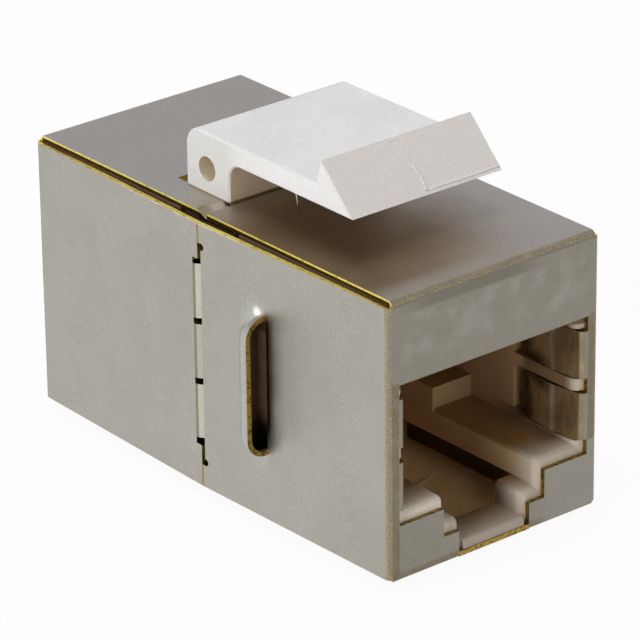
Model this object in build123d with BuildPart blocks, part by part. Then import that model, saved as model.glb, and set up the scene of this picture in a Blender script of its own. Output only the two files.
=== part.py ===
from build123d import *
from math import hypot
import os

os.makedirs("parts", exist_ok=True)

# Inline coupler for a keystone opening, two eight-way jacks back to back in a folded metal shield.
# Frame: x across, y from the front port's face to the rear, z up, origin at the front face's foot.

# Body
body_width = 14.7
body_height = 16.1
body_length = 30.2

# Folded sheet of the two shields
sheet = 0.3
fold_radius = 0.34
foot_fold_radius = 0.1
corner_gap = 0.02
side_top_drop = 0.35
side_foot = 0.15
seam_past_middle = 0.17
seam_flare = 0.36
seam_gap = 0.03

# Port opening in the sheet, stepped down to the notch for the plug's latch
port_side_land = 0.75
port_header = 4.82
shelf_height = 3.15
channel_half_width = 3.56
step_height = 1.52
notch_half_width = 2.48

# Earthing fingers folded in from both sides of the opening
finger_relief = 0.87
finger_fold_inset = 0.4
finger_crest_inset = 0.72
finger_crest_depth = 2.2
finger_tip_inset = 0.38
finger_length = 5.0
finger_tip_round = 0.9

# Side stops, louvres lanced out of the front shield with their mouths to the front
stop_from_front = 9.7
stop_run = 1.4
stop_low = 4.05
stop_below_top = 3.9
stop_reach = 1.37
stop_shoulder = 1.2

# Fixed catch lanced out of the underside with its mouth to the rear
catch_from_front = 7.9
catch_run = 2.4
catch_half_width = 2.6
catch_drop = 0.5

# Seam between the shields
seam_recess = 0.25
seam_relief_margin = 1.66
seam_relief_round = 0.2
seam_relief_depth = 0.5
tab_count = 3
tab_low = 2.97
tabs_below_top = 2.8
tab_relief = 0.37
tab_relief_depth = 0.45
tab_joggle = 0.7
tab_overlap = 2.6
lap_clearance = 0.03
lap_taper = 0.06
tab_bend = 0.35

# Top panel around the latch
leg_joggle_past_seam = 0.8
leg_joggle_length = 0.7
leg_overlap = 2.3
bottom_tab_inset = 1.0
bottom_tab_width = 3.6

# Snap latch, one moulding
latch_half_width = 5.25
latch_past_middle = 4.15
latch_base_length = 3.7
arm_clearance = 2.3
arm_thickness = 1.2
arm_inner_round = 0.85
heel_round = 1.1
hook_tip_from_front = 5.35
hook_top_from_front = 7.9
hook_height = 1.36
hook_rear_lean = 0.35
latch_bore = 1.42
latch_bore_inset = 1.82
latch_bore_height = 1.42
latch_edge_break = 0.1
latch_neck_inset = 0.15
slot_clearance = 0.1
slot_rear_gap = 1.0
foot_flange = 0.65
foot_flange_length = 1.2
foot_depth = 1.35
foot_clearance = 0.02

# Jack housings
housing_gap = 0.05
housing_top_lining = 0.45
shelf_lining = 0.58
side_lining = 0.34
floor_lining = 0.5
lead_in = 0.5
floor_lip_setback = 0.05
floor_lead_in = 0.3
housing_edge_break = 0.12
ledge_round = 0.35
cavity_side_step = 0.6
cavity_wall = 2.1
nose_stop_from_front = 8.75
nose_stop_rise = 1.25
front_wall = 2.1
undercut_half_width = 4.5
undercut_rise = 0.05
finger_pocket_clearance = 0.2
finger_pocket_play = 0.1
finger_pocket_depth = 5.25

# Circuit board across the middle
board_thickness = 1.2
board_side_margin = 0.75
board_foot = 0.8
hole_clearance = 0.08
hole_sides = 8

# Contacts and their holders
contact_count = 8
contact_pitch = 1.02
contact_width = 0.35
contact_thickness = 0.3
contact_bend = 0.55
contact_loop_front = 3.35
contact_loop_drop = 1.45
contact_free_gap = 0.65
contact_free_rise = 1.35
contact_rise_gap = 0.95
tail_rise = 1.3
tail_stickout = 0.4
groove_clearance = 0.05
groove_depth = 0.5
holder_nose = 3.9
holder_clearance = 0.1
holder_floor = 1.2
holder_border = 0.75
holder_tail_gap = 0.6
comb_floor_gap = 0.8
comb_slot_depth = 1.6
comb_thickness = 1.9

# Values that follow from the ones above
half_width = body_width / 2
lid_half_width = half_width - sheet - corner_gap
side_top = body_height - side_top_drop
middle = body_length / 2
seam_from_front = middle + seam_past_middle
rear_side_depth = body_length - seam_from_front - seam_gap
port_half_width = half_width - port_side_land
port_top = body_height - port_header
finger_tip_x = port_half_width - finger_tip_inset
stop_high = body_height - stop_below_top
seam_relief_high = body_height - seam_relief_margin
tabs_high = body_height - tabs_below_top
tab_height = (tabs_high - tab_low - (tab_count - 1) * tab_relief) / tab_count
leg_joggle_start = seam_from_front + leg_joggle_past_seam
finger_height = (port_top - shelf_height - 3 * finger_relief) / 2
shelf_top = shelf_height + shelf_lining
step_top = step_height + shelf_lining
floor_top = sheet + floor_lining
nose_stop_top = shelf_top + nose_stop_rise
undercut_top = step_top + undercut_rise
cavity_top = port_top - housing_top_lining
cavity_half_width = port_half_width - cavity_side_step
channel_lined = channel_half_width - side_lining
notch_lined = notch_half_width - side_lining
board_front = middle - board_thickness / 2
board_rear = middle + board_thickness / 2
board_half_width = half_width - board_side_margin
cavity_depth = board_front - cavity_wall
latch_rear = middle + latch_past_middle
latch_front = latch_rear - latch_base_length
latch_neck_half = latch_half_width - slot_clearance - latch_neck_inset
slot_half_width = latch_neck_half + slot_clearance
foot_low = body_height - sheet - foot_depth
lap_depth = sheet + lap_clearance
lap_face = half_width + seam_flare - lap_depth - lap_taper
housing_half_width = lap_face - sheet - housing_gap
front_wall_back = sheet + front_wall
contact_line = cavity_top + contact_thickness / 2 + holder_floor
groove_floor = contact_line - contact_thickness / 2
tail_line = contact_line + tail_rise
contact_span = contact_pitch * (contact_count - 1)
holder_half_width = contact_span / 2 + holder_border
groove_width = contact_width + 2 * groove_clearance
slot_end = latch_rear + slot_rear_gap
turned_end = Location((0, body_length, 0), (0, 0, 180))
foot_rear = body_length - latch_rear - slot_clearance
lap_room = lap_depth + lap_clearance
lap_room_start = seam_from_front - max(tab_overlap, leg_overlap) - slot_clearance
board_top = foot_low - slot_clearance / 2
arm_bottom = body_height + arm_clearance
arm_top = arm_bottom + arm_thickness
hook_top = arm_top + hook_height
rib_top = groove_floor + groove_depth
comb_front = cavity_depth - housing_gap - comb_thickness
contact_free_depth = cavity_depth - contact_free_gap
contact_rise_start = cavity_depth - contact_rise_gap


# Outline of a bent strip whose outer face follows the given points
def strip_outline(plane, points, bend, inner_side=Side.LEFT):
    with BuildSketch(plane) as outline:
        with BuildLine():
            FilletPolyline(*points, radius=bend)
            offset(amount=sheet, side=inner_side)
        make_face()
    return outline.sketch


# Block or cut given by its three spans
def block(x_span, y_span, z_span, mode=Mode.ADD):
    size = [high - low for low, high in (x_span, y_span, z_span)]
    centre = [(low + high) / 2 for low, high in (x_span, y_span, z_span)]
    with Locations(tuple(centre)):
        Box(*size, mode=mode)


# Place of a contact across the port, counted from 1
def contact_place(number):
    return (number - (contact_count + 1) / 2) * contact_pitch


# How far a side panel leans out at a depth behind its port face
def flare_at(depth, panel_depth):
    return seam_flare * depth / panel_depth


# Foot of an earthing finger, counted from 0
def finger_low(index):
    return shelf_height + finger_relief + index * (finger_height + finger_relief)


# Right half of one shield: port wall with its opening, folds, panels and earthing fingers
def half_shield(side_depth, side_end, top_end, bottom_end):
    side_path = [(0, 0), (half_width, 0), (half_width + flare_at(side_end, side_depth), side_end)]
    extrude(strip_outline(Plane.XY.offset(side_foot), side_path, fold_radius), amount=side_top - side_foot)
    for low, high in ((0, fold_radius), (body_height - fold_radius, body_height)):
        block((0, lid_half_width), (0, sheet), (low, high), Mode.SUBTRACT)
    lid_path = [(bottom_end, 0), (0, 0), (0, body_height), (top_end, body_height)]
    lid_bends = (foot_fold_radius, fold_radius)
    extrude(strip_outline(Plane.YZ, lid_path, lid_bends, Side.RIGHT), amount=lid_half_width)

    wall = (-sheet, sheet + fold_radius)
    block((0, port_half_width), wall, (shelf_height, port_top), Mode.SUBTRACT)
    block((0, channel_half_width), wall, (step_height, port_top), Mode.SUBTRACT)
    block((0, notch_half_width), wall, (-sheet, port_top), Mode.SUBTRACT)
    block((0, notch_half_width), (0, sheet + fold_radius), (0, sheet))

    finger_path = [
        (port_half_width + sheet, 0),
        (port_half_width - finger_fold_inset, 0),
        (port_half_width - finger_crest_inset, finger_crest_depth),
        (finger_tip_x, finger_length),
    ]
    for index in range(2):
        outline = strip_outline(Plane.XY.offset(finger_low(index)), finger_path, fold_radius, Side.RIGHT)
        extrude(outline, amount=finger_height)


# Short corner edges at the free ends of the earthing fingers
def finger_corners(shield):
    return shield.edges().filter_by(
        lambda edge: abs(edge.length - sheet) < sheet / 20
        and abs(edge.center().Y - finger_length) < sheet
        and edge.center().X < port_half_width
    )


# Gill lanced out of a panel, in its own frame: slit along x, outward y, mouth at z = 0, rounded ends
def gill(length, run, crown, foot, shoulder, root):
    straight = length / 2 - run
    with BuildPart() as bump:
        with BuildSketch(Plane.YZ) as profile:
            with BuildLine():
                Polyline((root, 0), (crown, 0), (foot, run), (root, run), close=True)
            make_face()
            if shoulder > 0:
                fillet(profile.vertices().sort_by(Axis.Y)[-2:].sort_by(Axis.X)[-1], radius=shoulder)
        extrude(amount=straight)
        end = Pos(X=straight) * profile.sketch
        revolve(end, axis=Axis((straight, 0, 0), (0, 1, 0)), revolution_arc=90)
        mirror(about=Plane.YZ)
    return bump.part


with BuildPart() as front_shield:
    half_shield(seam_from_front, seam_from_front, seam_from_front, seam_from_front)
    fillet(finger_corners(front_shield), radius=finger_tip_round)

    # side stop
    stop_face = half_width + flare_at(stop_from_front, seam_from_front)
    stop_place = Plane(
        origin=(stop_face, stop_from_front, (stop_low + stop_high) / 2),
        x_dir=(0, 0, 1),
        z_dir=(0, 1, 0),
    )
    stop_span = stop_high - stop_low
    for inset, root, mode in ((0, -sheet / 2, Mode.ADD), (sheet, -2 * sheet, Mode.SUBTRACT)):
        crown = stop_reach - inset
        shell = gill(stop_span - 2 * inset, stop_run - inset, crown, crown, stop_shoulder - inset, root)
        add(stop_place * shell, mode=mode)

    # rear edge of the side panel, set back between two round-ended reliefs
    recess_front = seam_from_front - seam_recess
    block(
        (half_width - sheet, half_width + sheet + seam_flare),
        (recess_front, seam_from_front + sheet),
        (seam_relief_margin, seam_relief_high),
        Mode.SUBTRACT,
    )
    with BuildSketch(Plane.YZ.offset(half_width - sheet)) as reliefs:
        with Locations(*[(seam_from_front, height) for height in (seam_relief_margin, seam_relief_high)]):
            SlotOverall(2 * seam_relief_depth, 2 * seam_relief_round)
    extrude(amount=2 * sheet + seam_flare, mode=Mode.SUBTRACT)

    mirror(about=Plane.YZ)

    # fixed catch under the port
    catch_place = Plane(origin=(0, catch_from_front, 0), x_dir=(-1, 0, 0), z_dir=(0, -1, 0))
    for inset, root, mode in ((0, -sheet / 2, Mode.ADD), (sheet, -2 * sheet, Mode.SUBTRACT)):
        shell = gill(2 * catch_half_width, catch_run, catch_drop - inset, -inset, 0, root)
        add(catch_place * shell, mode=mode)

front_shield.part.label = "front_shield"
export_step(front_shield.part, "parts/front_shield.step")


with BuildPart() as rear_shield_as_front:
    panel_end = rear_side_depth - tab_relief_depth
    half_shield(rear_side_depth, panel_end, body_length - slot_end, rear_side_depth)
    fillet(finger_corners(rear_shield_as_front), radius=finger_tip_round)

    # corner lands that butt against the front shield
    side_end = half_width + flare_at(rear_side_depth, rear_side_depth)
    side_start = half_width + flare_at(panel_end - sheet, rear_side_depth)
    for low, high in ((side_foot, tab_low - tab_relief), (tabs_high + tab_relief, side_top)):
        land_path = [(side_start, panel_end - sheet), (side_end, rear_side_depth)]
        with BuildSketch(Plane.XY.offset(low)) as land:
            with BuildLine():
                Polyline(*land_path)
                offset(amount=sheet, side=Side.LEFT)
            make_face()
        extrude(amount=high - low)

    # tabs joggled in under the front shield's side panel
    tab_path = [
        (side_start, panel_end - sheet),
        (half_width + flare_at(panel_end + sheet / 2, rear_side_depth), panel_end + sheet / 2),
        (lap_face, panel_end + tab_joggle),
        (lap_face, rear_side_depth + tab_overlap),
    ]
    for index in range(tab_count):
        low = tab_low + index * (tab_height + tab_relief)
        outline = strip_outline(Plane.XY.offset(low), tab_path, tab_bend)
        extrude(outline, amount=tab_height)

    # legs of the top panel beside the latch, joggled down under the front shield
    leg_start = body_length - leg_joggle_start
    leg_end = leg_start + leg_joggle_length
    leg_face = body_height - lap_depth
    leg_path = [
        (body_length - slot_end - sheet, body_height),
        (leg_start, body_height),
        (leg_end, leg_face),
        (body_length - seam_from_front + leg_overlap, leg_face),
    ]
    outline = strip_outline(Plane.YZ.offset(slot_half_width), leg_path, tab_bend, Side.RIGHT)
    extrude(outline, amount=lid_half_width - slot_half_width)

    # tab of the bottom panel, joggled up over the front shield's floor
    floor_bend = rear_side_depth - tab_joggle - sheet
    block(
        (bottom_tab_inset - tab_relief, bottom_tab_inset + bottom_tab_width + tab_relief),
        (floor_bend, rear_side_depth + sheet),
        (-sheet, 2 * sheet),
        Mode.SUBTRACT,
    )
    floor_path = [
        (floor_bend - sheet, 0),
        (floor_bend + sheet, 0),
        (rear_side_depth - sheet / 2, lap_depth),
        (rear_side_depth + tab_overlap, lap_depth),
    ]
    outline = strip_outline(Plane.YZ.offset(bottom_tab_inset), floor_path, tab_bend)
    extrude(outline, amount=bottom_tab_width)

    mirror(about=Plane.YZ)

with BuildPart() as rear_shield:
    with Locations(turned_end):
        add(rear_shield_as_front.part)

rear_shield.part.label = "rear_shield"
export_step(rear_shield.part, "parts/rear_shield.step")


# Jack housing, moulded in cream plastic and used at both ends
with BuildPart() as front_housing:
    block((-housing_half_width, housing_half_width), (sheet, board_front), (sheet, body_height - sheet))
    front_rim = front_housing.faces().sort_by(Axis.Y)[0].edges()
    chamfer(front_rim, length=housing_edge_break)

    # cavity for the plug, with the step that its nose meets
    cavity_x = (-cavity_half_width, cavity_half_width)
    block(cavity_x, (sheet, nose_stop_from_front), (shelf_top, cavity_top), Mode.SUBTRACT)
    block(cavity_x, (sheet, cavity_depth), (nose_stop_top, cavity_top), Mode.SUBTRACT)

    # channel for the plug's latch, undercut behind the front wall and open to the shield's floor
    lined_x = (-channel_lined, channel_lined)
    undercut_x = (-undercut_half_width, undercut_half_width)
    notch_x = (-notch_lined, notch_lined)
    block(lined_x, (sheet, cavity_depth), (step_top, cavity_top), Mode.SUBTRACT)
    block(notch_x, (sheet, front_wall_back), (floor_top, cavity_top), Mode.SUBTRACT)
    block(undercut_x, (front_wall_back, cavity_depth), (0, undercut_top), Mode.SUBTRACT)

    # soft edges of the ledges beside the channel, and the rounded mouth
    ledge_edges = front_housing.edges().filter_by(Axis.Y).filter_by(
        lambda edge: any(
            hypot(abs(edge.center().X) - x, edge.center().Z - z) < housing_gap
            for x, z in ((channel_lined, shelf_top), (notch_lined, step_top))
        )
    )
    fillet(ledge_edges, radius=ledge_round)
    mouth = front_housing.faces().sort_by(Axis.Y)[0].inner_wires()[0].edges()
    fillet(mouth.filter_by(lambda edge: edge.center().Z > floor_top + housing_gap), radius=lead_in)
    block(notch_x, (floor_lip_setback, sheet), (sheet, floor_top))
    foot = front_housing.edges().filter_by(
        lambda edge: hypot(edge.center().Y - floor_lip_setback, edge.center().Z - floor_top) < housing_gap
    )
    fillet(foot, radius=floor_lead_in)

    # pockets behind the earthing fingers
    pocket_half = finger_tip_x + sheet + finger_pocket_clearance
    for index in range(2):
        low = finger_low(index)
        pocket_z = (low - finger_pocket_play, low + finger_height + finger_pocket_play)
        block((-pocket_half, pocket_half), (sheet, finger_pocket_depth), pocket_z, Mode.SUBTRACT)

    # slot for the contact holder, open to the circuit board
    slot_half = holder_half_width + holder_clearance
    slot_x = (-slot_half, slot_half)
    low_ceiling = rib_top + holder_clearance / 2
    high_ceiling = tail_line + contact_thickness
    slot_front = contact_loop_front - 2 * contact_thickness
    rise_front = contact_rise_start - contact_thickness
    block(slot_x, (slot_front, board_front), (cavity_top - sheet, low_ceiling), Mode.SUBTRACT)
    block(slot_x, (rise_front, board_front), (cavity_top, high_ceiling), Mode.SUBTRACT)

    # seat for the latch's foot, and room for the lapped panels
    seat_half = latch_neck_half + foot_flange + slot_clearance
    block((-seat_half, seat_half), (foot_rear, board_front), (foot_low, body_height), Mode.SUBTRACT)
    for low, high in ((0, sheet + lap_room), (body_height - sheet - lap_room, body_height)):
        block((-half_width, half_width), (lap_room_start, board_front), (low, high), Mode.SUBTRACT)

with BuildPart() as rear_housing:
    with Locations(turned_end):
        add(front_housing.part)

front_housing.part.label = "front_housing"
export_step(front_housing.part, "parts/front_housing.step")
rear_housing.part.label = "rear_housing"
export_step(rear_housing.part, "parts/rear_housing.step")


# Contact holder, a grooved tongue with a comb for the contacts' free ends
with BuildPart() as front_contact_holder:
    tongue_x = (-holder_half_width, holder_half_width)
    comb_z = (nose_stop_top + comb_floor_gap, cavity_top)
    block(tongue_x, (holder_nose, board_front - holder_tail_gap), (cavity_top, rib_top))
    block(tongue_x, (comb_front, comb_front + comb_thickness), comb_z)
    for number in range(1, contact_count + 1):
        place = contact_place(number)
        groove_x = (place - groove_width / 2, place + groove_width / 2)
        block(groove_x, (0, board_front), (groove_floor, rib_top), Mode.SUBTRACT)
        block(groove_x, (0, comb_front + comb_slot_depth), (0, cavity_top), Mode.SUBTRACT)

with BuildPart() as rear_contact_holder:
    with Locations(turned_end):
        add(front_contact_holder.part)

front_contact_holder.part.label = "front_contact_holder"
export_step(front_contact_holder.part, "parts/front_contact_holder.step")
rear_contact_holder.part.label = "rear_contact_holder"
export_step(rear_contact_holder.part, "parts/rear_contact_holder.step")


# Spring contact seen from the side: tail through the board, along the tongue, round its nose, back down
def contact_outline(raised):
    route = [(board_rear + tail_stickout, tail_line if raised else contact_line)]
    if raised:
        route += [(contact_rise_start + tail_rise, tail_line), (contact_rise_start, contact_line)]
    tail_bends = [0] * (len(route) - 1)
    route += [
        (contact_loop_front, contact_line),
        (contact_loop_front, contact_line - contact_loop_drop),
        (contact_free_depth, nose_stop_top + contact_free_rise),
    ]
    with BuildSketch(Plane.YZ) as outline:
        with BuildLine():
            FilletPolyline(*route, radius=tail_bends + 2 * [contact_bend])
        trace(line_width=contact_thickness)
    return outline.sketch


for number in range(1, contact_count + 1):
    with BuildPart() as front_contact:
        outline = Pos(X=contact_place(number)) * contact_outline(number % 2 == 0)
        extrude(outline, amount=contact_width / 2, both=True)

    with BuildPart() as rear_contact:
        with Locations(turned_end):
            add(front_contact.part)

    front_contact.part.label = f"front_contact_{number}"
    export_step(front_contact.part, f"parts/front_contact_{number}.step")
    rear_contact.part.label = f"rear_contact_{number}"
    export_step(rear_contact.part, f"parts/rear_contact_{number}.step")


# Circuit board that crosses the pairs over between the two jacks
with BuildPart() as circuit_board:
    block((-board_half_width, board_half_width), (board_front, board_rear), (board_foot, board_top))
    corners = circuit_board.edges().filter_by(Axis.Y)
    fillet(corners, radius=board_thickness / 2)
    hole_spots = [
        (contact_place(number), height)
        for number in range(1, contact_count + 1)
        for height in (contact_line, tail_line)
    ]
    with BuildSketch(Plane.XZ.offset(-board_front)):
        with Locations(*hole_spots):
            RegularPolygon(hypot(contact_width, contact_thickness) / 2 + hole_clearance, hole_sides)
    extrude(amount=-board_thickness, mode=Mode.SUBTRACT)

circuit_board.part.label = "circuit_board"
export_step(circuit_board.part, "parts/circuit_board.step")


# Snap latch: heel with a cross bore, spring arm and hook, and a foot held under the top panel
with BuildPart() as latch:
    with BuildSketch(Plane.YZ.offset(-latch_half_width)):
        with BuildLine():
            Polyline(
                (latch_front, body_height),
                (latch_front, arm_bottom),
                (hook_tip_from_front, arm_bottom),
                (hook_top_from_front, hook_top),
                (hook_top_from_front + hook_rear_lean, arm_top),
                (latch_rear, arm_top),
                (latch_rear, body_height),
                close=True,
            )
        profile = make_face()
        corners = profile.vertices()
        fillet(corners.sort_by_distance((latch_front, arm_bottom))[0], radius=arm_inner_round)
    extrude(amount=2 * latch_half_width)
    heel = latch.edges().filter_by(Axis.X).sort_by_distance((0, latch_rear, arm_top))[0]
    fillet(heel, radius=heel_round)
    outline_edges = latch.edges().filter_by(lambda edge: abs(edge.center().X) > latch_neck_half)
    chamfer(outline_edges.filter_by(lambda edge: edge.center().Z > body_height), length=latch_edge_break)
    with BuildSketch(Plane.YZ.offset(-latch_half_width)):
        with Locations((latch_rear - latch_bore_inset, body_height + latch_bore_height)):
            Circle(latch_bore / 2)
    extrude(amount=2 * latch_half_width, mode=Mode.SUBTRACT)

    neck_x = (-latch_neck_half, latch_neck_half)
    flange_x = (-latch_neck_half - foot_flange, latch_neck_half + foot_flange)
    flange_top = body_height - sheet - foot_clearance
    block(neck_x, (latch_front + 2 * slot_clearance, latch_rear), (foot_low, body_height))
    block(flange_x, (latch_rear - foot_flange_length, latch_rear), (foot_low, flange_top))

latch.part.label = "latch"
export_step(latch.part, "parts/latch.step")
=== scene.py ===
import bpy
import math
from mathutils import Matrix, Vector


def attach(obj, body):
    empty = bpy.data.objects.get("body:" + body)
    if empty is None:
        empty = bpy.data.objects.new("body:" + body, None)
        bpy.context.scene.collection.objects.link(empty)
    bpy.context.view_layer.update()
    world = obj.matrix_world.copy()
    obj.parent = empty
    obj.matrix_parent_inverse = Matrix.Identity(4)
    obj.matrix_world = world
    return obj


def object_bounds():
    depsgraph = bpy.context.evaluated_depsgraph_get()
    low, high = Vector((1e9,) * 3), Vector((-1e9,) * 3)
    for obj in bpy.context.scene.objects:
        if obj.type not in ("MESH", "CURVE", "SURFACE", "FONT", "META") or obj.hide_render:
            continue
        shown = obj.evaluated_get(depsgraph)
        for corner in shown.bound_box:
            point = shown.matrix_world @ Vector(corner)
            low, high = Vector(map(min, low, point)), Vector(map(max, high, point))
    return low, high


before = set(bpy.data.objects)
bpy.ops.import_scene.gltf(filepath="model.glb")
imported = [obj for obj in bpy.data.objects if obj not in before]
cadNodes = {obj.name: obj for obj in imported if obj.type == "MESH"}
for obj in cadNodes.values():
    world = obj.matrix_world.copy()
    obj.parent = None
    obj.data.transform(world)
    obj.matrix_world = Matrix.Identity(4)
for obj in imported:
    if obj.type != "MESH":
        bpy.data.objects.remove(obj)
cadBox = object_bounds()
mm = 0.001
print("frame loaded:", len(cadNodes), "nodes")

# camera, set at the photograph's own viewing angle
cameraSetup = {
    "place": (-146.721, -164.964, 113.183),  # mm in the part's frame
    "turn": 39.278,        # degrees from +Y towards +X
    "tilt": -24.395,       # degrees above the level
    "roll": -0.716,        # degrees, right side up is positive
    "focal": 261.543,      # mm
    "sensor": 36.0,        # mm wide
    "clip": (0.01, 20.0),  # m
}


def makeCamera(setup):
    turn, tilt, roll = (math.radians(setup[name]) for name in ("turn", "tilt", "roll"))
    forward = Vector((math.sin(turn) * math.cos(tilt), math.cos(turn) * math.cos(tilt), math.sin(tilt)))
    level = forward.cross(Vector((0, 0, 1))).normalized()
    rise = level.cross(forward)
    right = level * math.cos(roll) + rise * math.sin(roll)
    up = right.cross(forward)
    data = bpy.data.cameras.new("camera")
    data.lens = setup["focal"]
    data.sensor_width = setup["sensor"]
    data.clip_start, data.clip_end = setup["clip"]
    camera = bpy.data.objects.new("camera", data)
    axes = Matrix((right, up, -forward)).transposed().to_4x4()
    camera.matrix_world = Matrix.Translation(Vector(setup["place"]) * mm) @ axes
    bpy.context.scene.collection.objects.link(camera)
    bpy.context.scene.camera = camera


makeCamera(cameraSetup)
bpy.context.scene.view_settings.view_transform = "Standard"
print("camera set")


# node helpers, each takes the tree that it builds in
def addNode(tree, kind, **settings):
    node = tree.nodes.new(kind)
    for key, value in settings.items():
        setattr(node, key, value)
    return node


def feed(tree, socket, value):
    if isinstance(value, bpy.types.NodeSocket):
        tree.links.new(value, socket)
    else:
        socket.default_value = value


def calc(tree, operation, *values):
    node = addNode(tree, "ShaderNodeMath", operation=operation)
    for socket, value in zip(node.inputs, values):
        feed(tree, socket, value)
    return node.outputs[0]


def product(tree, first, *masks):
    for mask in masks:
        first = calc(tree, "MULTIPLY", first, mask)
    return first


def largest(tree, first, *masks):
    for mask in masks:
        first = calc(tree, "MAXIMUM", first, mask)
    return first


def opposite(tree, mask):
    return calc(tree, "SUBTRACT", 1, mask)


def above(tree, value, limit):
    return calc(tree, "GREATER_THAN", value, limit)


def below(tree, value, limit):
    return calc(tree, "LESS_THAN", value, limit)


def between(tree, value, low, high):
    return product(tree, above(tree, value, low), below(tree, value, high))


def ramp(tree, value, low, high, start=0.0, end=1.0):
    node = addNode(tree, "ShaderNodeMapRange", clamp=True, interpolation_type="SMOOTHSTEP")
    limits = {"Value": value, "From Min": low, "From Max": high, "To Min": start, "To Max": end}
    for name, number in limits.items():
        feed(tree, node.inputs[name], number)
    return node.outputs[0]


def distance(tree, *offsets):
    total = None
    for value, centre in offsets:
        offset = calc(tree, "SUBTRACT", value, centre)
        square = calc(tree, "MULTIPLY", offset, offset)
        total = square if total is None else calc(tree, "ADD", total, square)
    return calc(tree, "SQRT", total)


def blendColour(tree, amount, first, second, mode="MIX"):
    node = addNode(tree, "ShaderNodeMix", data_type="RGBA", blend_type=mode)
    feed(tree, node.inputs[0], amount)
    for socket, value in ((node.inputs[6], first), (node.inputs[7], second)):
        feed(tree, socket, value if isinstance(value, bpy.types.NodeSocket) else (*value, 1))
    return node.outputs[2]


def noise(tree, place, scale, detail, rough):
    node = addNode(tree, "ShaderNodeTexNoise")
    for name, value in (("Vector", place), ("Scale", scale), ("Detail", detail), ("Roughness", rough)):
        feed(tree, node.inputs[name], value)
    return node.outputs[0]


def split(tree, vector):
    node = addNode(tree, "ShaderNodeSeparateXYZ")
    feed(tree, node.inputs[0], vector)
    return node.outputs[0], node.outputs[1], node.outputs[2]


def makeGroup(name, inputs, outputs):
    group = bpy.data.node_groups.new(name, "ShaderNodeTree")
    for label, kind, start in inputs:
        socket = group.interface.new_socket(name=label, in_out="INPUT", socket_type="NodeSocket" + kind)
        if start is not None:
            socket.default_value = start
    for label, kind in outputs:
        group.interface.new_socket(name=label, in_out="OUTPUT", socket_type="NodeSocket" + kind)
    entry = group.nodes.new("NodeGroupInput")
    leave = group.nodes.new("NodeGroupOutput")
    return group, entry.outputs, leave.inputs


def useGroup(tree, group, **values):
    node = addNode(tree, "ShaderNodeGroup", node_tree=group)
    for label, value in values.items():
        feed(tree, node.inputs[label], value)
    return node.outputs


def newMaterial(name):
    material = bpy.data.materials.new(name)
    material.use_nodes = True
    tree = material.node_tree
    return material, tree, tree.nodes["Principled BSDF"]


def placeInMm(tree):
    where = addNode(tree, "ShaderNodeTexCoord").outputs["Object"]
    node = addNode(tree, "ShaderNodeVectorMath", operation="SCALE")
    feed(tree, node.inputs[0], where)
    node.inputs["Scale"].default_value = 1 / mm
    return node.outputs[0]


def faceDirection(tree):
    return addNode(tree, "ShaderNodeNewGeometry").outputs["Normal"]


def readPlaces(tree, place, facing):
    x, y, z = split(tree, place)
    nx, ny, nz = split(tree, facing)
    return {"x": x, "y": y, "z": z, "nx": nx, "ny": ny, "nz": nz}


# a zone of a look is a row of (what is read, how, limits), and a bare number in the row is a share
readings = {"above": above, "below": below, "within": between, "fades": ramp}
unsigned = {"across": "x", "faceX": "nx", "faceY": "ny", "faceZ": "nz"}


class Painter:
    def __init__(self, tree, places, look):
        self.tree, self.places, self.look = tree, places, look

    def read(self, name):
        if name not in self.places:
            self.places[name] = calc(self.tree, "ABSOLUTE", self.places[unsigned[name]])
        return self.places[name]

    def zone(self, name):
        masks = []
        for limit in self.look["zones"][name]:
            if isinstance(limit, tuple):
                source, reading, *numbers = limit
                limit = readings[reading](self.tree, self.read(source), *numbers)
            masks.append(limit)
        return product(self.tree, *masks)

    def mask(self, *parts):
        return product(self.tree, *(self.zone(part) if isinstance(part, str) else part for part in parts))

    def either(self, *parts):
        return largest(self.tree, *(self.mask(part) for part in parts))

    def coat(self, under, colour, *parts):
        over = self.look[colour] if isinstance(colour, str) else colour
        return blendColour(self.tree, self.mask(*parts), under, over)

    def blend(self, first, second, part):
        return self.coat(self.look[first], second, part)

    def speckle(self, colour):
        return blendColour(self.tree, 1.0, colour, self.mask("speckle"), "MULTIPLY")


# studio: pale floor, soft lamps around the part
studio = {
    "floorColour": (0.94, 0.94, 0.94),
    "floorRoughness": 0.8,
    "floorShine": 0.2,
    "floorGlow": 0.93,      # share of the floor that the camera sees as plain white
    "floorReach": 3.0,      # m
    "ambient": 0.10,
    "overhead": 0.45,       # how bright metal sees the room above the horizon
    "horizon": (0.05, 0.55),            # between these heights the room goes from bright to overhead
    "lampTarget": (0, 0.015, 0.008),    # m
    "lamps": {
        # name: (place in m, size in m, watts, colour)
        "leftSoftbox": ((-0.75, -0.08, 0.30), 0.60, 4.2, (1.0, 0.995, 0.98)),
        "frontFill": ((-0.10, -0.80, 0.40), 0.50, 0.8, (1.0, 1.0, 1.0)),
        "topSoftbox": ((-0.05, 0.06, 0.80), 0.50, 3.3, (1.0, 1.0, 1.0)),
        "rightFill": ((0.75, -0.10, 0.30), 0.50, 1.0, (1.0, 1.0, 1.0)),
    },
}


def seenDirectly(tree):
    rays = addNode(tree, "ShaderNodeLightPath").outputs
    shown = largest(tree, rays["Is Camera Ray"], rays["Is Glossy Ray"], rays["Is Transmission Ray"])
    return shown, rays["Is Camera Ray"]


def makeRoom(setup):
    world = bpy.data.worlds.new("studio")
    bpy.context.scene.world = world
    world.use_nodes = True
    tree = world.node_tree
    shown, byCamera = seenDirectly(tree)
    level = setup["ambient"]
    height = split(tree, addNode(tree, "ShaderNodeTexCoord").outputs["Generated"])[2]
    room = ramp(tree, height, *setup["horizon"], 1.0, setup["overhead"])
    backdrop = largest(tree, room, byCamera)
    colour = blendColour(tree, shown, (level, level, level), backdrop)
    feed(tree, tree.nodes["Background"].inputs["Color"], colour)


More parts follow.
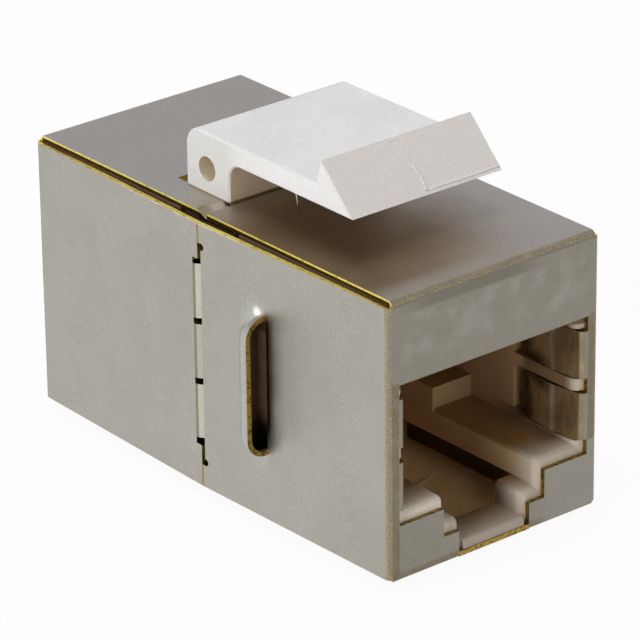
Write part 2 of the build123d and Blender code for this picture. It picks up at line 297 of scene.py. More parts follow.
def makeFloor(setup):
    reach, low = setup["floorReach"], cadBox[0][2]
    corners = [(-reach, -reach, low), (reach, -reach, low), (reach, reach, low), (-reach, reach, low)]
    mesh = bpy.data.meshes.new("floor")
    mesh.from_pydata(corners, [], [(0, 1, 2, 3)])
    floor = bpy.data.objects.new("floor", mesh)
    bpy.context.scene.collection.objects.link(floor)
    material, tree, shader = newMaterial("palePaper")
    shader.inputs["Base Color"].default_value = (*setup["floorColour"], 1)
    shader.inputs["Roughness"].default_value = setup["floorRoughness"]
    shader.inputs["Specular IOR Level"].default_value = setup["floorShine"]
    glow = addNode(tree, "ShaderNodeEmission")
    mix = addNode(tree, "ShaderNodeMixShader")
    feed(tree, mix.inputs[0], calc(tree, "MULTIPLY", seenDirectly(tree)[0], setup["floorGlow"]))
    tree.links.new(shader.outputs[0], mix.inputs[1])
    tree.links.new(glow.outputs[0], mix.inputs[2])
    tree.links.new(mix.outputs[0], tree.nodes["Material Output"].inputs[0])
    floor.data.materials.append(material)


def makeLamps(setup):
    for name, (place, size, watts, colour) in setup["lamps"].items():
        data = bpy.data.lights.new(name, "AREA")
        data.shape, data.size, data.energy, data.color = "DISK", size, watts, colour
        lamp = bpy.data.objects.new(name, data)
        lamp.location = place
        aim = Vector(setup["lampTarget"]) - Vector(place)
        lamp.rotation_euler = aim.to_track_quat("-Z", "Y").to_euler()
        bpy.context.scene.collection.objects.link(lamp)


makeRoom(studio)
makeFloor(studio)
makeLamps(studio)
print("studio set")

# where the folded sheet shows its cut edges, in mm from its own port face
sheetMarks = {
    "length": 30.2,
    "fingers": ((4.02, 6.78), (7.65, 10.41)),       # z of each pair of earthing fingers
    "zones": {
        "inner": (("across", "below", 7.04),),      # inside the lid's cut edges
        "mid": (("z", "within", 0.45, 15.65),),
        "high": (("z", "above", 15.65),),
        "behind": (("depth", "above", 1.0),),
        "level": (("faceZ", "above", 0.7),),
        "sideways": (("faceX", "above", 0.7),),
        "lengthways": (("faceY", "above", 0.75),),
        "edgeOn": (("faceX", "below", 0.35),),
        "portSide": (
            ("across", "below", 6.72), ("depth", "below", 0.31),
            ("faceX", "above", 0.8), ("z", "below", 15.65),
        ),
        "fingerTip": (("depth", "above", 3.9), ("faceX", "below", 0.5)),
        "notchFoot": (
            ("across", "below", 2.48), ("z", "below", 0.31),
            ("depth", "below", 0.05), ("faceY", "above", 0.7),
        ),
        "atStop": (("depth", "within", 9.67, 9.73),),
        "seam": (("depth", "above", 12.0),),
        "lidCorner": (("z", "above", 15.99),),      # the lid's cut edge is bright here
        "frontEnd": (("depth", "below", 0.22),),
        "sideCorner": (("across", "above", 7.19),),  # the side's cut top edge is bright here
    },
}


def portDepth(tree, y, turned):
    away = calc(tree, "SUBTRACT", sheetMarks["length"], y)
    return calc(tree, "ADD", product(tree, away, turned), product(tree, y, opposite(tree, turned)))


def makeCutEdges(marks):
    group, given, out = makeGroup(
        "cutEdges",
        [("Place", "Vector", None), ("Facing", "Vector", None), ("Turned", "Float", 0.0)],
        [("Mask", "Float"), ("Bright", "Float"), ("Dark", "Float"), ("Depth", "Float")],
    )
    places = readPlaces(group, given["Place"], given["Facing"])
    places["depth"] = portDepth(group, places["y"], given["Turned"])
    mask = Painter(group, places, marks).mask
    inner, mid, high, behind = mask("inner"), mask("mid"), mask("high"), mask("behind")
    outer, ends = opposite(group, inner), opposite(group, mid)
    inFinger = largest(group, *(between(group, places["z"], *span) for span in marks["fingers"]))
    edges = (
        mask("level", inner, mid),
        mask("portSide", opposite(group, inFinger)),
        mask("fingerTip", inner, mid, inFinger),
        mask(largest(group, mask("sideways"), mask("lengthways", behind)), inner, ends),
        mask("notchFoot"),
        mask("level", outer, ends),
        mask("edgeOn", outer, largest(group, mask("atStop"), mask("seam"))),
    )
    lidEdge = mask("sideways", inner, high)
    nearCorner = largest(group, mask("lidCorner"), mask("frontEnd"))
    sideEdge = mask("level", "sideCorner", outer, high)
    feed(group, out["Mask"], largest(group, *edges))
    rearEdge = mask("lengthways", high, behind)
    feed(group, out["Bright"], largest(group, mask(lidEdge, nearCorner), sideEdge, rearEdge))
    feed(group, out["Dark"], mask(lidEdge, opposite(group, nearCorner)))
    feed(group, out["Depth"], places["depth"])
    return group


# plating rubbed off along the folds of a port face
rubMarks = {
    "patchNoise": (0.9, 2.0, 0.5),      # scale per mm, detail, roughness
    "speckNoise": (14.0, 3.0, 0.7),
    "zones": {
        "turn": (("flat", "fades", 0.998, 0.95),),
        "near": (("depth", "fades", 0.62, 0.4),),
        "patch": (("patchNoise", "fades", 0.25, 0.75, 0.6, 1.0),),
        "speck": (("speckNoise", "fades", 0.32, 0.64),),
    },
}


def makeFoldRub(marks):
    group, given, out = makeGroup(
        "foldRub",
        [("Place", "Vector", None), ("Facing", "Vector", None), ("Depth", "Float", 0.0)],
        [("Mask", "Float"), ("Speck", "Float")],
    )
    places = {name: noise(group, given["Place"], *marks[name]) for name in ("patchNoise", "speckNoise")}
    places["depth"] = given["Depth"]
    facing = split(group, given["Facing"])
    places["flat"] = largest(group, *(calc(group, "ABSOLUTE", value) for value in facing))
    mask = Painter(group, places, marks).mask
    feed(group, out["Mask"], mask("turn", "near", "patch"))
    feed(group, out["Speck"], mask("speck"))
    return group


# grain of every finish: detail and roughness of the noise, and the bump's height in mm
grainMarks = {"detail": 3.0, "rough": 0.6, "bump": 0.05}


def makeGrain(marks):
    group, given, out = makeGroup(
        "fineGrain",
        [("Place", "Vector", None), ("Size", "Float", 0.1), ("Depth", "Float", 0.1)],
        [("Value", "Float"), ("Normal", "Vector")],
    )
    scale = calc(group, "DIVIDE", 1, given["Size"])
    grain = noise(group, given["Place"], scale, marks["detail"], marks["rough"])
    bump = addNode(group, "ShaderNodeBump")
    bump.inputs["Distance"].default_value = marks["bump"] * mm
    feed(group, bump.inputs["Strength"], given["Depth"])
    feed(group, bump.inputs["Height"], grain)
    feed(group, out["Value"], grain)
    feed(group, out["Normal"], bump.outputs[0])
    return group


# upright drawing marks in the sheet: how much longer than wide, and their noise
streakMarks = {"length": 6.0, "noise": (4.5, 4.0, 0.65)}


def makeStreaks(marks):
    group, given, out = makeGroup(
        "drawnStreaks",
        [("Place", "Vector", None), ("Length", "Float", marks["length"])],
        [("Value", "Float")],
    )
    x, y, z = split(group, given["Place"])
    join = addNode(group, "ShaderNodeCombineXYZ")
    for socket, value in zip(join.inputs, (x, y, calc(group, "DIVIDE", z, given["Length"]))):
        feed(group, socket, value)
    feed(group, out["Value"], noise(group, join.outputs[0], *marks["noise"]))
    return group


# painted shade: how the inside goes brown behind a port's face, in mm
portShade = {
    "zones": {
        "brown": (("depth", "fades", 0.35, 3.0),),
        "besideFingers": (
            ("across", "above", 5.75), ("z", "above", 4.0),
            ("depth", "fades", 0.15, 1.3), ("depth", "fades", 4.9, 4.1),
        ),
        "shelfEdge": (
            ("across", "fades", 4.3, 5.75), ("z", "within", 2.9, 4.3),
            ("depth", "fades", 0.7, 2.2), ("depth", "fades", 7.0, 5.0),
        ),
        "flank": (("across", "above", 6.9),),
    },
}


def makePortShade(look):
    group, given, out = makeGroup(
        "portShade",
        [("Place", "Vector", None)],
        [("Mask", "Float"), ("Rib", "Float"), ("Flank", "Float")],
    )
    x, y, z = split(group, given["Place"])
    depth = calc(group, "MINIMUM", y, calc(group, "SUBTRACT", sheetMarks["length"], y))
    paint = Painter(group, {"x": x, "z": z, "depth": depth}, look)
    feed(group, out["Mask"], paint.mask("brown"))
    feed(group, out["Rib"], paint.either("besideFingers", "shelfEdge"))
    feed(group, out["Flank"], paint.mask("flank"))
    return group


cutEdges = makeCutEdges(sheetMarks)
foldRub = makeFoldRub(rubMarks)
fineGrain = makeGrain(grainMarks)
drawnStreaks = makeStreaks(streakMarks)
inPort = makePortShade(portShade)

# nickel plate over brass sheet, zones in mm
plate = {
    "side": (0.415, 0.403, 0.362),
    "sideDarker": (0.365, 0.345, 0.30),
    "topCool": (0.43, 0.405, 0.395),     # lid behind and beside the latch
    "latchReflection": (0.30, 0.225, 0.145),     # painted reflection of the latch's shaded underside on the lid in front of it, brown
    # deeper and lighter parts of that painted reflection
    "latchReflectionDeep": (0.29, 0.22, 0.14),
    "latchReflectionFront": (0.44, 0.40, 0.35),
    # port face: etched plating, darker than the sides, partly painted shade
    "wall": (0.265, 0.25, 0.21),
    "wallEdge": (0.20, 0.165, 0.105),    # wall beside the port and along its feet
    "wallLight": (0.283, 0.264, 0.226),
    "bandTop": (0.185, 0.17, 0.135),     # darker along the band's top: painted shade under its upper fold, and a darker patch below it
    "bandPatch": (0.325, 0.32, 0.285),   # pale patches on the band above the port
    # inner faces of the sheet: painted brown shade and brown bounce light inside the ports
    "inside": (0.58, 0.43, 0.245),
    "insideDark": (0.42, 0.305, 0.16),
    "channel": (0.95, 0.68, 0.36),       # floor of the latch channel, painted brown for the light inside the port
    "crest": (1.0, 0.92, 0.72),          # painted highlight in streaks past the crest of a finger
    "rootShadeLight": (0.22, 0.14, 0.065),    # painted shade behind the crest of a finger
    "rootShadeDark": (0.05, 0.025, 0.008),
    "hollow": (0.19, 0.125, 0.075),      # painted shade inside the side stops, darkest at their foot
    "hollowFoot": (0.01, 0.006, 0.002),
    "stopSheen": (0.50, 0.495, 0.48),         # painted sheen on the drawn sheet round a side stop
    "nearStop": (0.60, 0.58, 0.525),     # panel in front of a side stop, painted lighter, then its painted shadow
    "besideStop": (0.16, 0.105, 0.055),
    # painted shadow line along a stop's mouth
    "stopLine": (0.06, 0.02, 0.004),
    # painted shade on the roll of a side stop
    "stopRoll": (0.37, 0.365, 0.35),
    "glintWhite": (0.97, 0.97, 0.95),     # painted glint on the top shoulder of a side stop and along the side's top edge
    "leg": (0.245, 0.19, 0.115),         # painted reflection and shade on the lid beside the latch's foot
    # lighter pool of that painted reflection on the bend
    "pool": (0.47, 0.43, 0.365),
    # painted highlight on the bend of the joggled tabs, and a painted shade line behind it
    "tabLight": (0.50, 0.48, 0.43),
    "tabLine": (0.24, 0.21, 0.13),
    "rubbed": (0.385, 0.335, 0.225),
    "rubDark": (0.20, 0.16, 0.10),
    "brassBright": (0.95, 0.80, 0.24),
    "brass": (0.40, 0.27, 0.06),
    "brassDark": (0.07, 0.04, 0.012),
    # painted shade on cut edges: the lid's inner edge, under the housing, in the reliefs
    "edgeDark": (0.03, 0.013, 0.003),
    "catchEdge": (0.40, 0.34, 0.26),     # mouth of the catch, seen through the channel's floor
    "grainSize": 0.09,
    "grainDepth": 0.3,
    "channelMatt": 0.8,                  # how far the channel's floor is from bare metal
    "rootShadeShare": 0.92,                  # how strong the painted shade at a finger's root is
    "darkShare": 0.85,                   # how dark the painted shade on the lid's inner cut edge is
    "noises": {
        # scale per mm, detail, roughness
        "cloud": (0.35, 3.0, 0.55),
        "mottle": (1.3, 5.0, 0.65),
        "rootShade": (0.5, 3.0, 0.6),
        "brassGrain": (5.0, 4.0, 0.75),
        "wornGrain": (3.0, 3.0, 0.7),
    },
    "bandNoise": (0.55, 4.0, 0.6),
    "topPatchCentre": -1.5,
    "ribHeight": 7.2,
    "stopEnds": (4.7, 11.55),            # z of the ends of a side stop's middle line
    "stopMiddle": 10.3,                  # y of that line
    "glintAt": (10.38, 12.15),           # y and z
    "slant": (5.3, 1.2),                 # where the bend of the rear leg starts, and its slope
    "spotAt": (15.75, 6.7),              # y and distance from the middle
    "frontReliefs": ((14.2, 14.68), (1.42, 1.9)),
    "rearReliefs": ((12.9, 13.45), (2.55, 3.0)),
    "zones": {
        "clouded": (("cloud", "fades", 0.35, 0.7, 0.0, 0.35),),
        "streaked": (("streak", "fades", 0.4, 0.65, 0.0, 0.12),),
        # darker towards the bottom front
        "lowFront": (("z", "fades", 6.0, 1.0), ("y", "fades", 7.0, 2.0), 0.6),
        "lid": (("nz", "above", 0.6), ("z", "above", 15.85)),
        # painted reflection of the latch on the lid, with its deeper and lighter parts
        "reflectsLatch": (("x", "fades", 6.5, -4.5), ("y", "fades", 17.5, 12.0)),
        "reflectsLatchDeep": (("y", "fades", 1.8, 4.0), ("y", "fades", 9.0, 6.0), 0.8),
        "reflectsLatchFront": (("y", "fades", 2.2, 0.6),),
        "wall": (("depth", "fades", 0.32, 0.05),),
        "wallMottle": (("mottle", "fades", 0.35, 0.7, 0.0, 0.22),),
        "wallPatch": (("mottle", "fades", 0.3, 0.6, 0.45, 1.0),),
        "besidePort": (("across", "above", 6.62), ("z", "below", 11.4)),
        "wallFoot": (("z", "fades", 0.55, 0.25),),
        "wallRight": (("x", "fades", 2.8, 4.2), ("z", "below", 4.0)),
        "band": (("z", "fades", 11.9, 12.7), ("z", "fades", 15.5, 14.7), ("across", "fades", 6.7, 5.9)),
        "bandPatches": (("bandNoise", "fades", 0.44, 0.63), 0.55),
        "topPatch": (("z", "fades", 15.0, 15.3), ("fromTopPatch", "fades", 5.5, 2.5), 0.9),
        "underFold": (("z", "fades", 15.62, 15.82),),
        # inside of the sheet
        "insideFlank": (("inward", "below", -0.3), ("z", "below", 15.4)),
        "insideStop": (("across", "above", 7.2), ("depth", "within", 9.74, 12.0), ("ny", "below", -0.15)),
        "insideLid": (("nz", "below", -0.5), ("z", "above", 14.0)),
        "insideFloor": (("nz", "above", 0.5), ("z", "below", 0.6), ("depth", "above", 0.3)),
        "brownStreaks": (("streak", "fades", 0.3, 0.7),),
        "finger": (("across", "below", 6.9), ("z", "above", 3.5)),
        "fingerCrest": (("depth", "fades", 1.7, 2.1), ("streak", "fades", 0.1, 0.6)),
        "fingerRoot": (("depth", "fades", 3.3, 4.4),),
        "nearRib": (("fromRib", "fades", 1.5, 0.5), ("depth", "fades", 1.5, 3.2)),
        "rootShadeMix": (("rootShade", "fades", 0.4, 0.7),),
        "channel": (("nz", "above", 0.5), ("z", "below", 0.6)),
        "hollowLit": (("z", "fades", 4.6, 6.4),),
        "hollow": (("across", "above", 7.1),),
        # front sheet only: edge of the seam and the side stop
        "seamEdge": (("y", "above", 15.14), ("across", "above", 7.2), 0.85),
        "seamTop": (("z", "above", 14.5),),
        "seamFoot": (("z", "below", 1.6),),
        "stopSheen": (
            ("fromStop", "fades", 1.75, 0.65), ("y", "fades", 9.55, 10.0), ("across", "above", 7.3), 0.7,
        ),
        "beforeStop": (
            ("y", "below", 9.7), ("x", "below", -7.3), ("z", "fades", 4.4, 6.0), ("z", "fades", 12.6, 11.4),
        ),
        "panelLit": (("y", "fades", 7.4, 9.0),),
        "stopShade": (("y", "fades", 8.95, 9.62),),
        "stopLine": (("y", "above", 9.5),),
        "stopRoll": (
            ("y", "within", 10.2, 10.72), ("z", "fades", 4.6, 5.6), ("z", "fades", 12.0, 11.4),
            ("across", "above", 7.3), 0.75,
        ),
        "glint": (("fromGlint", "fades", 0.5, 0.1), ("x", "below", -7.3), ("y", "above", 9.7)),
        # rear sheet only: joggled tabs and the bent leg beside the latch
        "tab": (("across", "above", 7.2), ("z", "within", 2.97, 13.3)),
        "middleTab": (("z", "within", 6.5, 10.0), 0.85),
        "tabLight": (("y", "within", 15.2, 15.56), 0.9),
        "tabLine": (("y", "within", 15.56, 15.76), 0.85),
        "besideLatch": (("x", "below", -5.2), ("z", "above", 15.3), ("nz", "above", 0.2)),
        "leg": (("y", "below", 16.45),),
        "pool": (("slant", "fades", 15.3, 15.9), ("slant", "fades", 19.3, 18.4), 0.9),
        "legSpot": (("fromSpot", "fades", 0.75, 0.2), 0.8),
        # edges
        # painted highlight along the side's top edge
        "rim": (
            ("x", "below", -7.3), ("z", "within", 15.70, 15.76), ("y", "fades", 10.0, 14.0),
            ("y", "fades", 24.0, 20.0), ("mottle", "fades", 0.35, 0.6), 0.7,
        ),
        "portRub": (("across", "below", 6.8), ("z", "within", 3.5, 11.0), 0.6),
        "brassFresh": (("brassGrain", "fades", 0.34, 0.56),),
        "brassWorn": (("wornGrain", "fades", 0.3, 0.5, 0.35, 1.0),),
        "underHousing": (("z", "below", 0.45), ("depth", "above", 1.5), ("across", "below", 6.9)),
        "lining": (("depth", "above", 14.0), ("across", "above", 7.1), 0.6),
        "liningTop": (("z", "within", 13.2, 15.2),),
        "liningFoot": (("z", "within", 1.2, 3.0),),
        "relief": (("y", "within", 14.2, 16.2), ("across", "above", 6.9)),
        "catch": (("depth", "within", 7.0, 11.0), ("across", "below", 3.2), ("z", "below", 0.45)),
        "roughness": (("cloud", "fades", 0.3, 0.7, 0.39, 0.47),),
        "speckle": (("grain", "fades", 0.28, 0.72, 0.88, 1.12),),
    },
}


# turned: the rear sheet, which faces the other way
def paintOutside(paint, place, turned):
    tree, places, look = paint.tree, paint.places, paint.look
    body = paint.blend("side", "sideDarker", "clouded")
    body = paint.coat(body, "sideDarker", "streaked")
    body = paint.coat(body, "sideDarker", "lowFront")
    # painted reflection of the latch's shaded underside on the lid
    reflected = paint.mask("reflectsLatch")
    lid = paint.blend("topCool", "latchReflection", reflected)
    lid = paint.coat(lid, "latchReflectionDeep", reflected, "reflectsLatchDeep")
    lid = paint.coat(lid, "latchReflectionFront", reflected, "reflectsLatchFront")
    body = paint.coat(body, lid, "lid")

    wall = paint.blend("wall", "wallEdge", "wallMottle")
    wall = paint.coat(wall, "wallEdge", paint.either("besidePort", "wallFoot"), "wallPatch")
    if not turned:
        places["bandNoise"] = noise(tree, place, *look["bandNoise"])
        fromTopPatch = calc(tree, "SUBTRACT", places["x"], look["topPatchCentre"])
        places["fromTopPatch"] = calc(tree, "ABSOLUTE", fromTopPatch)
        wall = paint.coat(wall, "bandPatch", "band", "bandPatches")
        wall = paint.coat(wall, "bandTop", paint.either("topPatch", "underFold"))
        wall = paint.coat(wall, "wallLight", "wallRight")
    return paint.coat(body, wall, "wall")


# inner faces: painted brown shade, with painted highlights past the finger crests
def paintInside(paint):
    tree, places, look = paint.tree, paint.places, paint.look
    fromRib = calc(tree, "SUBTRACT", places["z"], look["ribHeight"])
    places["fromRib"] = calc(tree, "ABSOLUTE", fromRib)
    rootShade = paint.blend("rootShadeDark", "rootShadeLight", "rootShadeMix")
    hollow = paint.blend("hollowFoot", "hollow", "hollowLit")
    brown = paint.blend("insideDark", "inside", "brownStreaks")
    brown = paint.coat(brown, "crest", "fingerCrest", "finger")
    brown = paint.coat(brown, rootShade, paint.either("fingerRoot", "nearRib"), "finger", look["rootShadeShare"])
    brown = paint.coat(brown, "channel", "channel")
    return paint.coat(brown, hollow, "hollow")


def paintFrontStop(paint, body):
    tree, places, look = paint.tree, paint.places, paint.look
    low, high = look["stopEnds"]
    past = calc(tree, "SUBTRACT", calc(tree, "MAXIMUM", places["z"], high), high)
    short = calc(tree, "SUBTRACT", low, calc(tree, "MINIMUM", places["z"], low))
    upright = calc(tree, "ADD", past, short)
    glintY, glintZ = look["glintAt"]
    places["fromStop"] = distance(tree, (upright, 0.0), (places["y"], look["stopMiddle"]))
    places["fromGlint"] = distance(tree, (places["y"], glintY), (places["z"], glintZ))
    body = paint.coat(body, "brass", "seamEdge", paint.either("seamTop", "seamFoot"))
    body = paint.coat(body, "stopSheen", "stopSheen")
    # painted light, painted shadow and a painted shadow line on the panel in front of the stop
    before = paint.mask("beforeStop")
    body = paint.coat(body, "nearStop", before, "panelLit")
    body = paint.coat(body, "besideStop", before, "stopShade")
    body = paint.coat(body, "stopLine", before, "stopLine")
    body = paint.coat(body, "stopRoll", "stopRoll")
    return paint.coat(body, "glintWhite", "glint")


def paintRearTabs(paint, body):
    tree, places, look = paint.tree, paint.places, paint.look
    bendStart, slope = look["slant"]
    across = paint.read("across")
    pastBend = calc(tree, "SUBTRACT", across, bendStart)
    places["slant"] = calc(tree, "ADD", places["y"], calc(tree, "MULTIPLY", pastBend, slope))
    spotY, spotAcross = look["spotAt"]
    places["fromSpot"] = distance(tree, (places["y"], spotY), (across, spotAcross))
    # painted highlight and shade line on the joggled tabs
    tab = paint.mask("tab")
    body = paint.coat(body, "tabLight", tab, "tabLight", opposite(tree, paint.mask("middleTab")))
    body = paint.coat(body, "tabLine", tab, "tabLine")
    # painted reflection and shade on the lid beside the latch
    beside = paint.mask("besideLatch")
    body = paint.coat(body, "leg", beside, "leg")
    body = paint.coat(body, "pool", beside, "pool")
    return paint.coat(body, "leg", beside, "legSpot")


def paintBrass(paint, cut, turned):
    look = paint.look
    reliefs = look["rearReliefs"] if turned else look["frontReliefs"]
    inRelief = largest(paint.tree, *(between(paint.tree, paint.places["z"], *span) for span in reliefs))
    brass = paint.blend("brassDark", "brass", "brassFresh")
    brass = paint.coat(brass, "brassBright", cut["Bright"], "brassWorn")
    # painted shade on cut edges in the dark
    dark = paint.mask(cut["Dark"], look["darkShare"])
    brass = paint.coat(brass, "edgeDark", paint.either(dark, "underHousing"))
    brass = paint.coat(brass, "brassBright", "lining", paint.either("liningTop", "liningFoot"))
    brass = paint.coat(brass, "edgeDark", "relief", inRelief)
    return paint.coat(brass, "catchEdge", "catch")


def platedSheet(name, turned, look):
    material, tree, shader = newMaterial(name)
    place, facing = placeInMm(tree), faceDirection(tree)
    cut = useGroup(tree, cutEdges, Place=place, Facing=facing, Turned=float(turned))
    rub = useGroup(tree, foldRub, Place=place, Facing=facing, Depth=cut["Depth"])
    grain = useGroup(tree, fineGrain, Place=place, Size=look["grainSize"], Depth=look["grainDepth"])
    places = readPlaces(tree, place, facing)
    places["depth"] = cut["Depth"]
    places["grain"] = grain["Value"]
    places["streak"] = useGroup(tree, drawnStreaks, Place=place)["Value"]
    places["inward"] = calc(tree, "MULTIPLY", places["nx"], calc(tree, "SIGN", places["x"]))
    for label, setting in look["noises"].items():
        places[label] = noise(tree, place, *setting)
    paint = Painter(tree, places, look)

    body = paintOutside(paint, place, turned)
    if not turned:
        body = paintFrontStop(paint, body)
    inside = paint.either("insideFlank", "insideStop", "insideLid", "insideFloor")
    body = paint.coat(body, paintInside(paint), inside)
    if turned:
        body = paintRearTabs(paint, body)
    body = paint.coat(body, "glintWhite", "rim")
    rubbed = paint.coat(paint.blend("rubDark", "rubbed", rub["Speck"]), "rubDark", "portRub")
    body = paint.speckle(paint.coat(body, rubbed, rub["Mask"]))
    colour = blendColour(tree, cut["Mask"], body, paintBrass(paint, cut, turned))
    feed(tree, shader.inputs["Base Color"], colour)
    feed(tree, shader.inputs["Roughness"], paint.mask("roughness"))
    feed(tree, shader.inputs["Metallic"], opposite(tree, paint.mask(inside, "channel", look["channelMatt"])))
    feed(tree, shader.inputs["Normal"], grain["Normal"])
    return material


# cream moulding of the two jack housings, zones in mm
cream = {
    "colour": (0.70, 0.62, 0.52),
    "shade": (0.65, 0.56, 0.46),
    "low": (0.48, 0.41, 0.335),
    # painted light on the left of the front port, painted shade on its right
    "leftLit": (0.88, 0.80, 0.69),
    "rightDim": (0.60, 0.52, 0.425),
    # painted shade deep in a port, darker on faces turned up, darkest in the grooves
    "deepWall": (0.52, 0.335, 0.18),
    "deepTop": (0.295, 0.155, 0.05),
    # painted shade beside the fingers and along the shelf edges
    "rib": (0.20, 0.125, 0.065),
    "groove": (0.06, 0.03, 0.012),
    # painted shade above the port
    "over": (0.20, 0.13, 0.08),
    # painted shade on the housing's outer flanks, darkest at the foot
    "flank": (0.45, 0.30, 0.185),
    "flankFoot": (0.02, 0.01, 0.004),
    "shine": 0.3,
    "grainSize": 0.09,
    "grainDepth": 0.3,
    "flowNoise": (0.25, 2.0, 0.5),
    "zones": {
        "flow": (("flow", "fades", 0.3, 0.7),),
        "leftLit": (("x", "fades", -2.6, -3.4), ("y", "below", 15.0)),
        "rightDim": (("x", "fades", 2.6, 3.4), ("y", "below", 15.0)),
        "facesUp": (("nz", "fades", 0.3, 0.7),),
        "groove": (("z", "below", 2.2), ("faceX", "above", 0.5)),
        "low": (("z", "fades", 2.4, 0.9, 0.0, 0.9),),
        "flankLit": (("z", "fades", 4.8, 6.4),),
        "over": (("z", "above", 10.78),),      # painted shade on the front face above the port
        "roughness": (("grain", "fades", 0.3, 0.7, 0.54, 0.66),),
        "speckle": (("grain", "fades", 0.3, 0.7, 0.93, 1.07),),
    },
}


def mouldingPainter(tree, look):
    place, facing = placeInMm(tree), faceDirection(tree)
    grain = useGroup(tree, fineGrain, Place=place, Size=look["grainSize"], Depth=look["grainDepth"])
    places = readPlaces(tree, place, facing)
    places["grain"] = grain["Value"]
    places["flow"] = noise(tree, place, *look["flowNoise"])
    return Painter(tree, places, look), place, grain["Normal"]


def creamPlastic(name, look):
    material, tree, shader = newMaterial(name)
    paint, place, normal = mouldingPainter(tree, look)
    shade = useGroup(tree, inPort, Place=place)
    colour = paint.blend("colour", "shade", "flow")
    colour = paint.coat(colour, "leftLit", "leftLit")
    colour = paint.coat(colour, "rightDim", "rightDim")
    colour = paint.coat(colour, "low", "low")
    deep = paint.coat(paint.blend("deepWall", "deepTop", "facesUp"), "groove", "groove")
    colour = paint.coat(colour, deep, shade["Mask"])
    colour = paint.coat(colour, "rib", shade["Rib"])
    colour = paint.coat(colour, paint.blend("flankFoot", "flank", "flankLit"), shade["Flank"])
    colour = paint.coat(colour, "over", "over")
    feed(tree, shader.inputs["Base Color"], paint.speckle(colour))
    feed(tree, shader.inputs["Roughness"], paint.mask("roughness"))
    feed(tree, shader.inputs["Normal"], normal)
    shader.inputs["Specular IOR Level"].default_value = look["shine"]
    return material


# white moulding of the snap latch, zones in mm
white = {
    "colour": (0.84, 0.838, 0.842),
    "shade": (0.80, 0.795, 0.795),
    # painted shade on the hook's front face, warm
    "face": (0.735, 0.692, 0.665),
    # painted shade, beige, under the arm and on its undersides
    "undersideShade": (0.74, 0.61, 0.455),
    # painted shade inside the bore
    "bore": (0.78, 0.69, 0.54),
    # painted shade where the latch meets the lid
    "foot": (0.28, 0.20, 0.12),
    # painted shade on the heel's sides
    "flank": (0.685, 0.68, 0.665),
    # painted shade on rounded edges
    "edge": (0.70, 0.69, 0.68),
    "roughness": 0.68,
    "shine": 0.2,
    "grainSize": 0.085,
    "grainDepth": 0.55,
    "flowNoise": (0.25, 2.0, 0.5),
    "boreAt": (17.43, 17.52),      # y and z
    "zones": {
        "flow": (("flow", "fades", 0.3, 0.7),),
        "heel": (("y", "fades", 14.0, 16.0), ("nz", "below", 0.5)),
        "facesFront": (("ny", "below", -0.45),),
        "facesDown": (("nz", "below", -0.45),),
        "hook": (("y", "below", 8.2),),
        "behindHook": (("y", "above", 8.2),),
        "rounded": (("faceX", "within", 0.12, 0.97), 0.8),
        "underArm": (("faceX", "below", 0.3), ("z", "below", 18.45)),
        "bore": (("fromBore", "below", 0.74),),
        "foot": (("z", "fades", 16.20, 16.15), 0.85),
        "speckle": (("grain", "fades", 0.3, 0.7, 0.93, 1.07),),
    },
}


def whitePlastic(name, look):
    material, tree, shader = newMaterial(name)
    paint, place, normal = mouldingPainter(tree, look)
    boreY, boreZ = look["boreAt"]
    paint.places["fromBore"] = distance(tree, (paint.places["y"], boreY), (paint.places["z"], boreZ))
    front = paint.mask("facesFront")
    colour = paint.blend("colour", "shade", "flow")
    colour = paint.coat(colour, "flank", "heel")
    colour = paint.coat(colour, "face", front, "hook")
    colour = paint.coat(colour, "edge", "rounded")
    underneath = paint.either(paint.mask(front, "behindHook"), "facesDown")
    colour = paint.coat(colour, "undersideShade", underneath, "underArm")
    colour = paint.coat(colour, "bore", "bore")
    colour = paint.coat(colour, "foot", "foot")
    feed(tree, shader.inputs["Base Color"], paint.speckle(colour))
    feed(tree, shader.inputs["Normal"], normal)
    shader.inputs["Roughness"].default_value = look["roughness"]
    shader.inputs["Specular IOR Level"].default_value = look["shine"]
    return material


# gold-plated spring wire, darker where the plug wipes it
gold = {
    "colour": (0.80, 0.58, 0.22),
    "worn": (0.62, 0.50, 0.30),
    "wearFrom": (0.4, 0.7),
    "roughness": 0.28,
    "grainSize": 0.2,
    "grainDepth": 0.1,
}


def goldWire(name, look):
    material, tree, shader = newMaterial(name)
    place = placeInMm(tree)
    grain = useGroup(tree, fineGrain, Place=place, Size=look["grainSize"], Depth=look["grainDepth"])
    wear = ramp(tree, grain["Value"], *look["wearFrom"])
    feed(tree, shader.inputs["Base Color"], blendColour(tree, wear, look["colour"], look["worn"]))
    feed(tree, shader.inputs["Normal"], grain["Normal"])
    shader.inputs["Metallic"].default_value = 1.0
    shader.inputs["Roughness"].default_value = look["roughness"]
    return material


# solder-masked laminate with bare glass fibre at its edges
laminate = {
    "mask": (0.03, 0.16, 0.06),
    "maskLight": (0.04, 0.20, 0.08),
    "maskFrom": (0.35, 0.7),
    "edge": (0.45, 0.40, 0.22),
    "edgeFacing": 0.7,      # a face turned further from the board's own direction is an edge
    "roughness": 0.35,
    "grainSize": 0.25,
    "grainDepth": 0.15,
}


